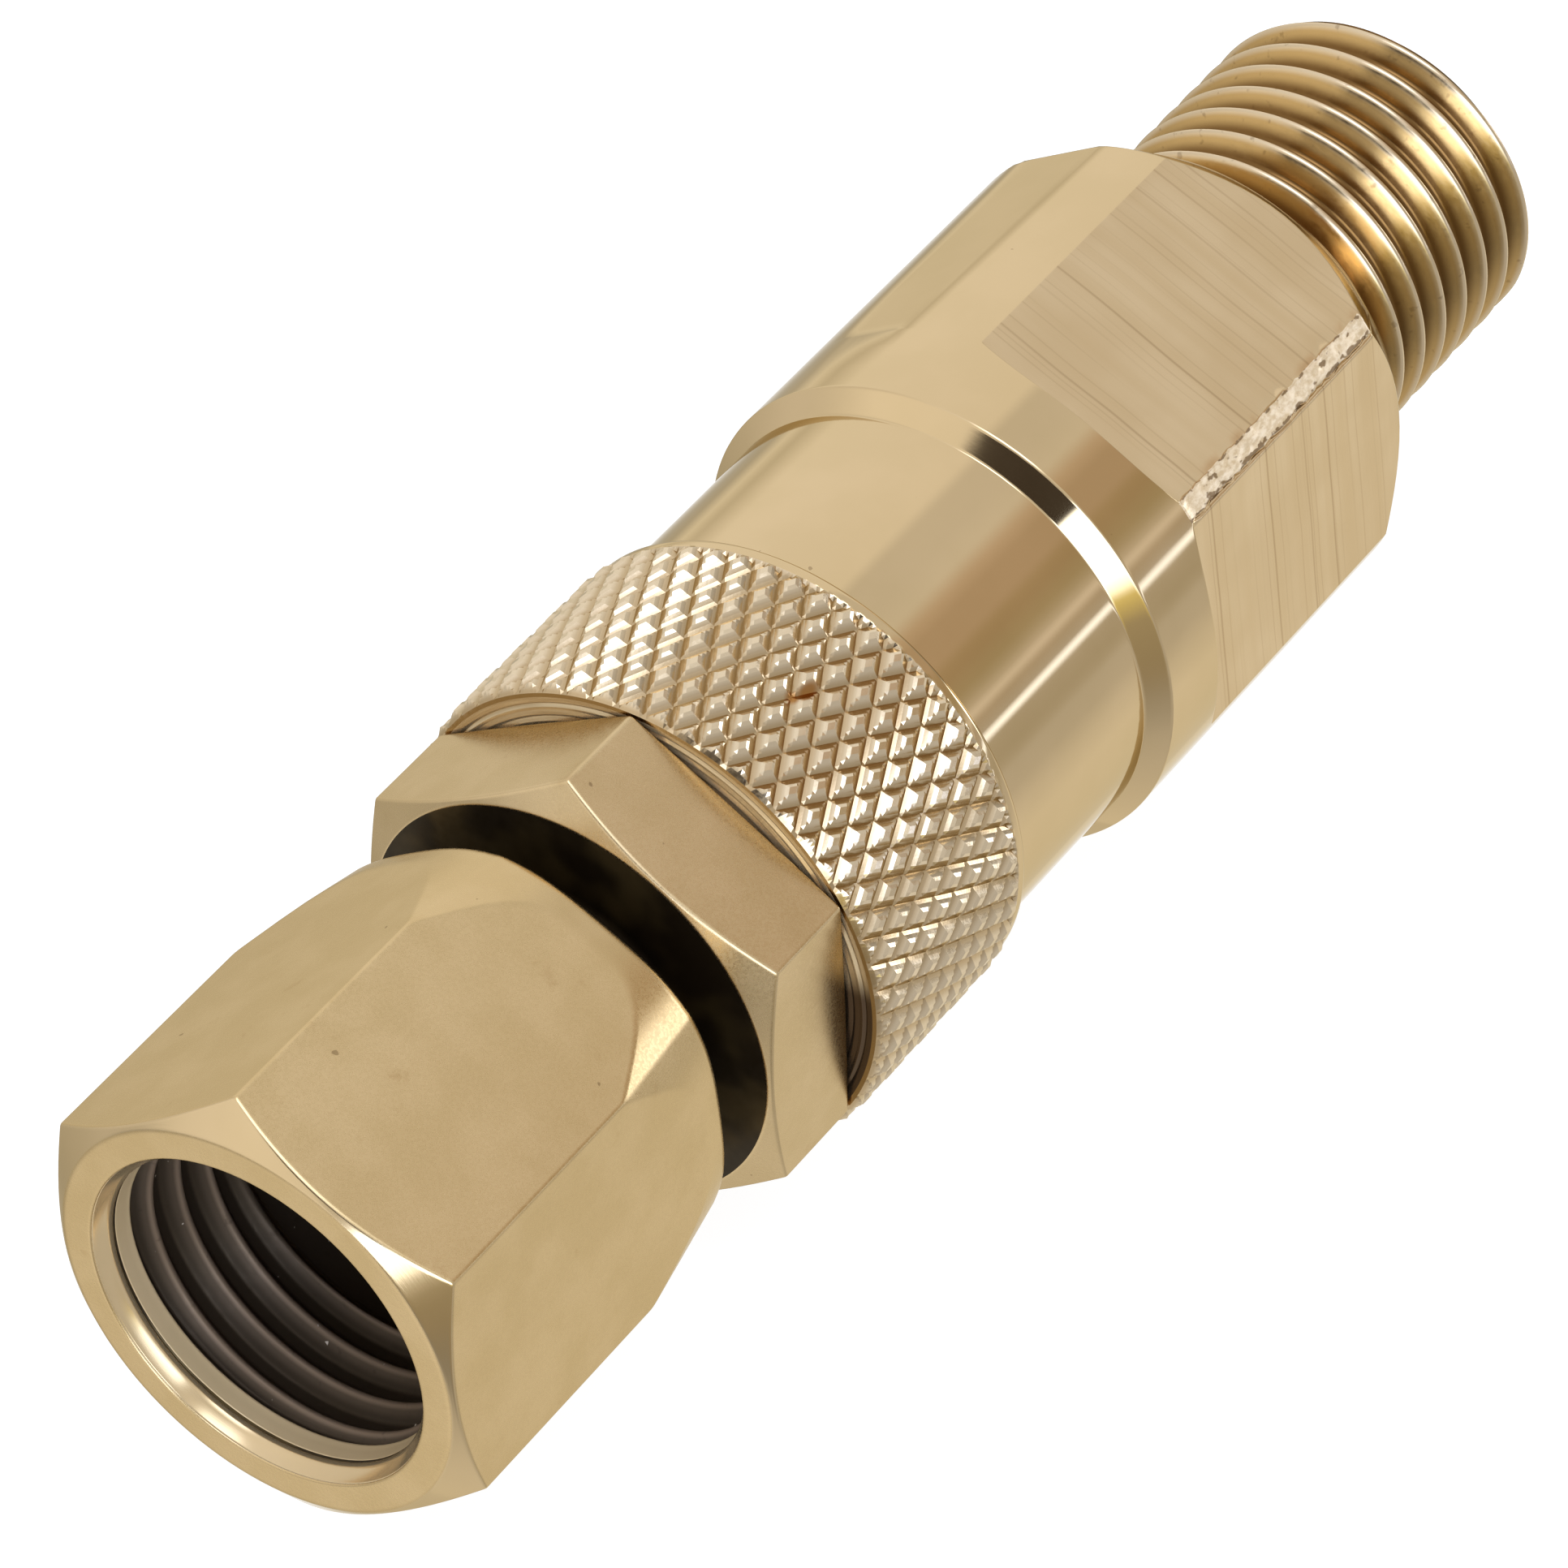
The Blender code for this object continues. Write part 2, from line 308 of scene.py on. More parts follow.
def satin(name, seed, tone):
    """Satin warm nickel: fine grain, faint cloudiness and a few stains."""
    g = Graph(name)
    base = tint(NICKEL, tone)
    grain = g.noise(g.xyz, 9000.0, 3.0, 0.6, seed)
    fine = g.noise(g.xyz, 26000.0, 2.0, 0.5, seed + 3.1)
    cloud = g.noise(g.xyz, 420.0, 3.0, 0.55, seed + 7.7)
    blot = g.noise(g.xyz, 620.0, 4.0, 0.68, seed + 11.0)
    speck = g.noise(g.xyz, 2300.0, 1.0, 0.5, seed + 17.0)
    col = g.mix(g.span(cloud, 0.35, 0.68), tint(base, (0.95, 0.94, 0.90)), tint(base, (1.02, 1.02, 1.02)))
    col = g.mix(g.span(blot, 0.60, 0.76, 0.0, 0.38), col, tint(base, (0.70, 0.60, 0.50)))
    col = g.mix(g.span(speck, 0.775, 0.80, 0.0, 0.55), col, tint(base, (0.30, 0.24, 0.20)))
    rough = g.span(grain, 0.3, 0.7, 0.24, 0.33)
    n = g.bump(g.noise(g.xyz, 1500.0, 3.0, 0.55, seed + 21.0), 0.05, 0.03 * MM)
    n = g.bump(grain, 0.09, 0.006 * MM, n)
    n = g.bump(fine, 0.05, 0.003 * MM, n)
    return g.done(col, rough, 1.0, n)


def bright(name, seed, lines=0.10, metal=1.0, extra=0.0):
    """Smooth bright nickel with the faint marks of turning."""
    g = Graph(name)
    turn = g.noise(g.stretch(1.0, 1.0, 0.0006), 14000.0, 2.0, 0.6, seed)
    grain = g.noise(g.xyz, 12000.0, 2.0, 0.5, seed + 2.0)
    cloud = g.noise(g.xyz, 300.0, 3.0, 0.5, seed + 5.0)
    speck = g.noise(g.xyz, 1900.0, 1.0, 0.5, seed + 17.0)
    col = g.mix(g.span(cloud, 0.35, 0.68), tint(NICKEL, (0.97, 0.97, 0.95)), tint(NICKEL, (1.01, 1.01, 1.01)))
    col = g.mix(g.span(speck, 0.785, 0.81, 0.0, 0.5), col, tint(NICKEL, (0.35, 0.30, 0.26)))
    rough = g.span(cloud, 0.3, 0.7, 0.055 + extra, 0.085 + extra)
    n = g.bump(turn, lines, 0.002 * MM)
    n = g.bump(grain, 0.04, 0.002 * MM, n)
    return g.done(col, rough, metal, n)


def milled():
    """The wrench flats: thin straight lines of a cutter across the flat."""
    g = Graph("milled_nickel")
    wave = g.noise(g.xyz, 200.0, 1.0, 0.5, 1.3)
    bend = g.math("MULTIPLY_ADD", wave, 0.00030, g.x)
    v = g.t.nodes.new("ShaderNodeCombineXYZ")
    g.put(v.inputs[0], bend)
    g.put(v.inputs[1], g.math("MULTIPLY", g.angle, 0.00020))
    vec = v.outputs[0]
    fine = g.noise(vec, 9000.0, 3.0, 0.65, 4.0)
    wide = g.noise(vec, 900.0, 2.0, 0.5, 6.0)
    cloud = g.noise(g.xyz, 260.0, 2.0, 0.5, 3.0)
    dark = g.math("MULTIPLY", g.lines(bend, 800.0, 0.070, 0.0), g.span(g.noise(vec, 900.0, 0.0, 0.5, 9.0), 0.44, 0.64))
    more = g.math("MULTIPLY", g.lines(bend, 2700.0, 0.16, 0.0), g.span(g.noise(vec, 2100.0, 0.0, 0.5, 12.0), 0.46, 0.66))
    cut = g.math("MAXIMUM", dark, g.math("MULTIPLY", more, 0.45))
    col = g.mix(g.span(cloud, 0.36, 0.64), tint(NICKEL, (1.02, 1.02, 1.05)), tint(NICKEL, (1.10, 1.12, 1.20)))
    col = g.mix(g.span(wide, 0.40, 0.66, 0.0, 0.5), col, tint(NICKEL, (0.97, 0.95, 0.93)))
    col = g.mix(g.math("MULTIPLY", cut, 0.46), col, tint(NICKEL, (0.48, 0.40, 0.32)))
    nick = g.spot(43.4, -28.7, 8.6, 0.16, 0.8)
    col = g.mix(g.math("MULTIPLY", nick, 0.6), col, tint(NICKEL, (0.30, 0.24, 0.18)))
    n = g.bump(fine, 0.08, 0.003 * MM)
    n = g.bump(wide, 0.05, 0.006 * MM, n)
    return g.done(col, g.span(fine, 0.3, 0.7, 0.17, 0.23), 1.0, n)


def burr():
    """The narrow land between two flats, raised and torn by the cutter; its pale bluish-white is partly its own bright
    tone and partly a painted highlight.
    """
    g = Graph("burred_nickel")
    a = g.noise(g.scaled(1.0, 1.6, 1.6), 3200.0, 3.0, 0.6, 2.0)
    b = g.noise(g.xyz, 8000.0, 2.0, 0.6, 5.0)
    n = g.bump(a, 0.35, 0.02 * MM)
    n = g.bump(b, 0.25, 0.006 * MM, n)
    # pale bluish-white: partly the land's own bright tone, partly a painted highlight
    col = g.mix(g.span(a, 0.35, 0.65), tint(NICKEL, (0.98, 1.00, 1.06)), tint(NICKEL, (1.30, 1.42, 1.75)))
    pit = g.noise(g.scaled(0.7, 1.2, 1.2), 2600.0, 2.0, 0.6, 13.0)
    low = g.span(g.angle, math.radians(-52.9), math.radians(-54.5))
    high = g.span(g.angle, math.radians(-50.5), math.radians(-49.9), 0.0, 0.7)
    pit = g.math("MULTIPLY_ADD", g.math("MAXIMUM", low, high), 0.15, pit)
    col = g.mix(g.span(pit, 0.60, 0.68, 0.0, 0.85), col, tint(NICKEL, (0.26, 0.19, 0.12)))
    return g.done(col, 0.26, 0.45, n)


def threaded(name, root, flank, crest, r0, rm, r1, rough, seed, metal=1.0, edge=(0.78, 0.73, 0.60), dust=0.0):
    """A thread, darker from its crest at radius r1 over its flank to its root at r0: the darkening into the root is
    painted shade, the lighter crest partly a painted highlight.
    """
    g = Graph(name)
    a = g.noise(g.stretch(1.0, 1.0, 0.003), 5200.0, 3.0, 0.6, seed)
    b = g.noise(g.xyz, 2600.0, 2.0, 0.5, seed + 4.0)
    # painted shade down into the root, painted highlight towards the crest
    col = g.mix(g.span(g.radius, r0 * MM, rm * MM), root, flank)
    col = g.mix(g.span(g.radius, rm * MM, r1 * MM), col, crest)
    col = g.mix(g.span(b, 0.62, 0.74, 0.0, 0.35), col, tint(root, (0.7, 0.66, 0.6)))
    if dust:
        c = g.noise(g.xyz, 3300.0, 1.0, 0.5, seed + 9.0)
        col = g.mix(g.span(c, 0.735, 0.775, 0.0, dust), col, (0.62, 0.54, 0.44))
    n = g.bump(a, 0.16, 0.006 * MM)
    return g.done(col, g.span(a, 0.3, 0.7, rough - 0.04, rough + 0.05), metal, n, edge)


def shaded(name, rgb):
    """Painted shade: near-black metal with faint olive patches, put in the gaps, grooves and recesses where shade
    falls.
    """
    g = Graph(name)
    a = g.noise(g.xyz, 330.0, 2.0, 0.5, 4.0)
    b = g.noise(g.xyz, 3000.0, 2.0, 0.5, 6.0)
    col = g.mix(g.span(a, 0.42, 0.62), rgb, tint(rgb, (3.2, 3.3, 2.6)))
    return g.done(col, g.span(b, 0.3, 0.7, 0.28, 0.36), 0.7, g.bump(b, 0.1, 0.01 * MM))


K_TOP, K_DEEP, RUST = 9.55, 0.27, (26.3, -21.2)


def knurl_metal():
    g = Graph("knurled_nickel")
    a = g.noise(g.xyz, 5200.0, 3.0, 0.6, 3.0)
    # painted shade in the grooves and a painted bluish-white sheen on the points
    depth = g.span(g.radius, (K_TOP - K_DEEP) * MM, (K_TOP - 0.05) * MM)
    col = g.mix(depth, tint(NICKEL, (0.79, 0.77, 0.77)), tint(NICKEL, (1.13, 1.23, 1.50)))
    rust = g.math("MAXIMUM", g.spot(RUST[0] - 0.2, RUST[1] + 0.9, 9.4, 0.36, 1.0),
                  g.spot(RUST[0] + 0.35, RUST[1] - 0.6, 9.4, 0.40, 1.9))
    col = g.mix(g.math("MULTIPLY", rust, 0.88), col, (0.40, 0.17, 0.035))
    n = g.bump(a, 0.22, 0.010 * MM)
    return g.done(col, g.span(a, 0.3, 0.7, 0.13, 0.22), 1.0, n)


def faced():
    """A turned front face with the rings of the tool, and painted shade on its lower part."""
    g = Graph("faced_nickel")
    ring = g.noise(g.stretch(1.0, 1.0, 0.0004), 6500.0, 2.0, 0.6, 8.0)
    col = g.mix(g.span(ring, 0.35, 0.65), tint(NICKEL, (0.86, 0.85, 0.82)), tint(NICKEL, (1.08, 1.12, 1.18)))
    # painted shade: the face turns dark brown from just above the axis downwards
    low = g.span(g.z, 2.4 * MM, 0.9 * MM)
    col = g.mix(low, col, (0.085, 0.052, 0.028))
    return g.done(col, 0.26, 0.75, g.bump(ring, 0.30, 0.008 * MM))


def plain(name, rgb, rough, metal, scale=6000.0, depth=0.15):
    g = Graph(name)
    a = g.noise(g.xyz, scale, 3.0, 0.55, 1.0)
    col = g.mix(g.span(a, 0.3, 0.7), tint(rgb, (0.93, 0.93, 0.93)), tint(rgb, (1.04, 1.04, 1.04)))
    return g.done(col, g.span(a, 0.3, 0.7, rough - 0.03, rough + 0.05), metal, g.bump(a, depth, 0.01 * MM), None)


M_NUT = satin("satin_nickel_nut", 1.0, (0.955, 0.935, 0.86))
M_HEX = satin("satin_nickel_hex", 21.0, (0.957, 0.955, 0.94))
M_BODY = bright("bright_nickel_body", 3.0)
M_FLAT = milled()
M_LAND = burr()
M_THREAD = threaded("thread_nickel", tint(NICKEL, (0.26, 0.18, 0.10)), tint(NICKEL, (0.75, 0.64, 0.43)),
                    tint(NICKEL, (1.04, 1.10, 1.28)), 6.20, 6.60, 6.845, 0.19, 2.0)
# the bore's dark brown is partly its bare unplated metal and partly painted shade deep in the bore
M_BORE = threaded("thread_bore", (0.040, 0.028, 0.018), (0.072, 0.051, 0.034), (0.19, 0.135, 0.092), 6.50, 6.24, 6.08,
                  0.44, 6.0, 0.3, (0.50, 0.40, 0.29), 0.8)
# M_SHADE is painted shade for the gaps, grooves and recesses
M_SHADE = shaded("painted_shade_steel", (0.024, 0.015, 0.007))
M_KNURL = knurl_metal()
M_FACE = faced()
M_SINK = bright("dull_nickel_mouth", 9.0, 0.45, 0.75, 0.10)
M_LEAD = bright("worn_nickel_lead_in", 12.0, 0.45, 0.25, 0.25)
M_EDGE = bright("bright_nickel_edge", 15.0, 0.6, 1.0, 0.07)
M_STEEL = plain("bearing_steel_fine", (0.60, 0.60, 0.60), 0.14, 1.0)
M_BRONZE = plain("bronze_fine", (0.55, 0.33, 0.13), 0.30, 1.0)
M_NITRILE = plain("nitrile_fine", (0.02, 0.02, 0.02), 0.55, 0.0)
M_PTFE = plain("ptfe_fine", (0.82, 0.81, 0.77), 0.45, 0.0)


# -------------------------------------------------------------------- union nut
NUT_AF, NUT_TURN = 15.7, math.radians(6.3)
NUT_SOFT = 0.16
PITCH = 1.5


def nut():
    cols = hex_columns(NUT_TURN, 0.62)
    per = []
    base = 0.0
    phases = np.array(PHASES)
    deep = 7.45                       # the thread runs out into the back bore here
    mouth = 1.62                      # and starts here, behind a smooth lead-in
    turns = int(math.ceil((deep - mouth) / PITCH)) + 2
    steps = np.concatenate([phases + k for k in range(turns)])
    steps = np.append(steps, float(turns))
    for a in cols:
        hr = float(hex_radius(np.array(a), NUT_AF, NUT_TURN, NUT_SOFT))
        d = (a - NUT_TURN + math.pi / 6) % (math.pi / 3) - math.pi / 6
        g = 1.0 - 0.042 * (1.0 - math.cos(6.0 * d)) / 2.0 + 0.0035 * math.exp(-(d / 0.035) ** 2)
        s1 = (hr - 7.65) / 1.4286
        s2 = min(9.9 + (9.06 - hr / g) / 0.185, 14.3)
        rt = lambda s: (9.06 - 0.185 * (s - 9.9)) * g
        outer = [(0.0, 6.55), (0.0, 7.65), (s1, hr), (s2, hr), (15.45, rt(15.45)), (15.45, 5.4)]
        cuts = [0.09, 0.10, 0.09, 0.22, 0.42, 0.12]
        body = section(outer + [(13.7, 5.4), (13.7, 6.7), (7.9, 6.7)], cuts + [0.1, 0.1, None], 4,
                       {2: 10, 3: 8}, 0.06, closed=False)
        # inside: helical rows from the back bore out to the mouth, following a
        turn_share = (a - cols[0]) / TAU
        inner = []
        for q in steps[::-1]:
            s = base + (q - turn_share) * PITCH
            sc = min(max(s, mouth), deep)
            phase = (sc - base) / PITCH + turn_share
            crest = float(thread_shape(np.array(phase), 0.05, 0.16))
            r = 6.62 - 0.56 * crest
            r = max(r, 6.17 - max(0.0, sc - 1.70) * 0.58)
            r = min(r, 6.19 + (sc - mouth) * 1.2)
            fade = min(max((sc - 6.75) / 0.7, 0.0), 1.0)
            r = r * (1 - fade) + 6.66 * fade
            inner.append((sc, r))
        mouth_pts = [(1.58, 6.165), (1.52, 6.175), (1.44, 6.19), (1.30, 6.20), (0.93, 6.215), (0.87, 6.22), (0.84, 6.285),
                     (0.80, 6.29), (0.77, 6.22), (0.70, 6.21), (0.60, 6.215), (0.53, 6.245), (0.45, 6.295), (0.12, 6.535),
                     (0.06, 6.55)]
        col = [tuple(p) for p in body] + inner + mouth_pts
        per.append(np.array([at(s, r, a) for s, r in col]))
    rows = np.stack(per, axis=1)
    ob = build("swivel_nut_visual", rows)
    # painted shade (M_SHADE) on the groove inside the mouth's lead-in and on the nut's back face round the bore
    slots_by(ob, [M_NUT, M_BORE, M_SINK, M_SHADE, M_EDGE, M_LEAD],
             lambda s, r, a, n: np.where((r < 6.72) & (s > 1.6) & (s < 15.3), 1,
                                         np.where((r < 6.56) & (s <= 1.6), np.where((r > 6.245) & (s > 0.76), 3, np.where(s > 0.86, 5, 2)),
                                                  np.where((r < 6.9) & (s > 15.42), 3,
                                                           np.where((n[:, 0] < -0.4) & (r > 7.67) & (s < 1.2), 4, 0)))))
    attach(ob, "nut")
    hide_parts("swivel_nut")
    return ob


# ---------------------------------------------------------------------- spindle
HEX_AF, HEX_TURN = 16.2, math.radians(2.2)


def spindle():
    cols = hex_columns(HEX_TURN, 0.62)
    per = []
    for a in cols:
        hr = float(hex_radius(np.array(a), HEX_AF, HEX_TURN, 0.14))
        s1 = 17.55 + (hr - 8.0) / 1.9
        pr = [(8.15, 3.0), (7.9, 3.25), (7.9, 3.55), (11.3, 5.5), (11.45, 5.75), (12.1, 5.75), (12.1, 4.7),
              (17.3, 4.7), (17.55, 4.95), (17.55, 7.96), (s1, hr), (21.98, hr), (21.98, 7.9), (21.98, 4.9),
              (27.0, 4.9), (27.0, 7.1), (29.2, 7.1), (29.2, 4.95), (32.6, 4.95), (32.6, 3.85), (35.2, 3.85),
              (35.2, 4.95), (36.4, 4.95), (36.4, 3.85), (39.0, 3.85), (39.0, 4.95), (39.8, 4.95), (40.2, 4.6),
              (40.2, 3.0)]
        cu = [0.06, 0.06, 0.06, 0.1, 0.1, 0.1, 0.1, 0.1, 0.1, 0.05, 0.09, 0.09, 0.05, 0.12, 0.1, 0.12, 0.12,
              0.1, 0.06, 0.06, 0.06, 0.06, 0.06, 0.06, 0.06, 0.06, 0.1, 0.1, 0.1]
        per.append(np.array([at(s, r, a) for s, r in section(pr, cu, 3, {7: 4, 13: 4, 28: 6}, 0.06)]))
    ob = build("spindle_visual", np.stack(per, axis=1))
    # painted shade (M_SHADE) on the neck and hex front face inside the nut, and on the hex's back face and neck by the
    # collar
    slots_by(ob, [M_HEX, M_BODY, M_SHADE],
             lambda s, r, a, n: np.where(((s > 11.5) & (s < 17.56) & (r < 7.9)) | ((s > 21.84) & (s < 23.5) & (r < 6.0)), 2,
                                         np.where((s > 22.0) | (r < 4.88), 1, 0)))
    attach(ob, "spindle")
    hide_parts("spindle")
    return ob


# --------------------------------------------------------------- knurled collar
KN, KAP, KSUB = 54, 2.0, 8          # grooves each way, axial pitch, rows per half groove
K_FRONT, K_BACK, K_RIM = 22.1, 30.6, 9.41


def knurl_depth(u, v):
    """0 on a point, 1 at a groove's bottom, for the two groove families."""
    du = np.abs(u - np.round(u)) * 2.0           # 0 at a groove, 1 between two
    dv = np.abs(v - np.round(v)) * 2.0
    t = (0.68 - np.minimum(du, dv)) / 0.62       # points with a small flat
    return np.clip(t, 0.0, 1.0)


def collar():
    n = KN * KSUB
    ds = KAP / (2.0 * KSUB)
    rows = []                                     # (offset, s array, r array)
    a0 = np.linspace(0, TAU, n + 1)
    half = (a0[1] - a0[0]) / 2.0
    front = [(K_FRONT, 6.6), (K_FRONT, 6.66), (K_FRONT, 7.4), (K_FRONT, 7.9)]
    for r0, deep in ((7.94, 0.05), (8.22, 0.08), (8.50, 0.04), (8.72, 0.09)):     # the turning tool's rings
        front += [(K_FRONT + deep, r0 + 0.05), (K_FRONT + deep, r0 + 0.08), (K_FRONT + 0.01, r0 + 0.15),
                  (K_FRONT + 0.01, r0 + 0.20)]
    front += [(K_FRONT, 8.98), (K_FRONT, 9.08)]
    for s, r in front:
        rows.append((0, np.full(n + 1, s), np.full(n + 1, r)))
    count = int(round((K_BACK - K_FRONT) / ds))
    for i in range(count + 1):
        s = K_FRONT + i * ds
        off = i % 2
        a = a0 + (half if off else 0.0)
        x = a * KN / TAU
        y = (s - K_FRONT) / KAP
        d = knurl_depth(x + y, x - y)
        r = K_TOP - K_DEEP * d
        if s > K_BACK - 0.05:                     # a plain rim behind the knurl
            r = np.full(n + 1, K_RIM)
        cone = 9.24 + (s - K_FRONT) * 1.1
        rows.append((off, np.full(n + 1, s), np.minimum(r, cone)))
    last = rows[-1][0]
    rear = [(30.70, K_RIM), (30.86, K_RIM), (30.95, 9.40), (31.04, 9.35), (31.09, 9.28), (31.1, 9.19), (31.1, 8.9),
            (31.1, 8.55), (31.08, 8.5), (30.9, 8.5), (27.5, 8.5), (24.06, 8.5), (24.0, 8.45), (24.0, 8.2),
            (24.0, 5.4), (24.0, 5.3), (23.95, 5.25), (23.15, 5.25), (23.1, 5.3), (23.1, 5.5), (23.1, 6.5),
            (23.08, 6.58), (23.0, 6.6), (22.2, 6.6)]
    for s, r in rear:
        rows.append((last, np.full(n + 1, s), np.full(n + 1, r)))
    verts, faces = [], []
    for off, s, r in rows:
        a = a0[:-1] + (half if off else 0.0)
        x, y, z = at(s[:-1], r[:-1], a)
        verts.append(np.stack([x, y, z], axis=-1))
    m = len(rows)
    for i in range(m):
        k = (i + 1) % m
        oi, ok = rows[i][0], rows[k][0]
        A, B = i * n, k * n
        for j in range(n):
            j2 = (j + 1) % n
            if oi == ok:
                faces.append((A + j, B + j, B + j2, A + j2))
            elif not oi:                          # the next row sits half a step on
                faces.append((A + j, B + j, A + j2))
                faces.append((B + j, B + j2, A + j2))
            else:
                faces.append((A + j, B + j, B + j2))
                faces.append((A + j, B + j2, A + j2))
    me = bpy.data.meshes.new("knurled_collar_visual")
    me.from_pydata(np.concatenate(verts).tolist(), [], faces)
    me.polygons.foreach_set("use_smooth", [True] * len(me.polygons))
    me.update()
    ob = bpy.data.objects.new("knurled_collar_visual", me)
    scene.collection.objects.link(ob)
    slots_by(ob, [M_KNURL, M_FACE, M_BODY],
             lambda s, r, a, nn: np.where((s < K_FRONT + 0.12) & (r < 9.08) & (r > 6.65), 1,
                                          np.where((s > K_BACK) | (r < 8.6), 2, 0)))
    # facets of the knurl stay crisp, everything else smooth
    idx = np.zeros(len(me.polygons), np.int32)
    me.polygons.foreach_get("material_index", idx)
    me.polygons.foreach_set("use_smooth", (idx != 0).tolist())
    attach(ob, "body")
    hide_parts("knurled_collar")
    return ob


# ------------------------------------------------------------------------- body
BARREL, NECK, BODY_H = 9.6, 8.86, 8.5
FLATS = [math.radians(x) for x in (-22.7, -82.7, 157.3, 97.3)]     # two pairs, and the third direction
GRAZED = [math.radians(x) for x in (33.6, 213.6)]                  # was only grazed by the cutter
EDGE = math.acos(BODY_H / BARREL)
CHAM_S, FACE_S, FACE_R, RUN_S = 56.05, 58.05, 8.05, 59.0           # back chamfer, back face, thread's undercut
BURR = (-54.7, -49.8)                                              # the torn land between the first two flats


def away(a, centre):
    return np.abs((a - centre + math.pi) % TAU - math.pi)


def flat_start(d):
    """A flat's front edge, rounded towards its corners; d from its middle."""
    return 43.2 + 0.8 * np.minimum(d / EDGE, 1.0) ** 2.6


def flat_end(fr):
    """Where the back chamfer cuts a surface at radius fr."""
    return CHAM_S + (BARREL - fr) * (FACE_S - CHAM_S) / (BARREL - FACE_R)


def body_columns():
    e = math.degrees(EDGE)
    half = [0, 4, 8, 12, 16, 19.5, 22.5, 24.8, 26.3, 27.15, e - 0.18, e, e + 0.18, e + 0.5, e + 1.2]
    out = []
    for c in FLATS:
        out += [math.degrees(c) + k * x for x in half for k in ((1, -1) if x else (1,))]
    lo, hi = BURR
    out = [x for x in out if not lo - 0.9 < x < hi + 0.9]
    out += [lo - 0.75, lo - 0.45, lo - 0.2, lo + 0.1, lo + 0.5, lo + 1.2, lo + 2.0, lo + 2.8, lo + 3.6, lo + 4.3,
            hi - 0.1, hi + 0.15, hi + 0.4, hi + 0.75]
    out += list(np.arange(7.5, 67.6, 2.5)) + list(np.arange(-113.5, -171.6, -2.5))
    out = sorted({round(x % 360.0, 4) for x in out})
    out = [x for i, x in enumerate(out) if i == 0 or x - out[i - 1] > 0.05]
    out = np.radians(np.array(out))
    return np.append(out, out[0] + TAU)


def barrel_radius(s, a):
    """Flats, and the shallow third pair that fades in along the barrel."""
    r = BARREL
    for c in FLATS:
        d = away(a, c)
        if d < EDGE:
            r = min(r, BODY_H / math.cos(d))
    for c in GRAZED:
        d = away(a, c)
        if d < 0.5:
            h = 9.45 - 0.12 * (s - 43.5) / 13.0 + 0.15 * max(0.0, 1.0 - max(0.0, s - 43.2) / 1.3) ** 2
            t = (BARREL - h / math.cos(d)) / 0.02
            r = min(r, BARREL - 0.02 * (math.sqrt(t * t + 1.0) + t) / 2.0 + 0.01 * math.exp(-t * t))
    return r


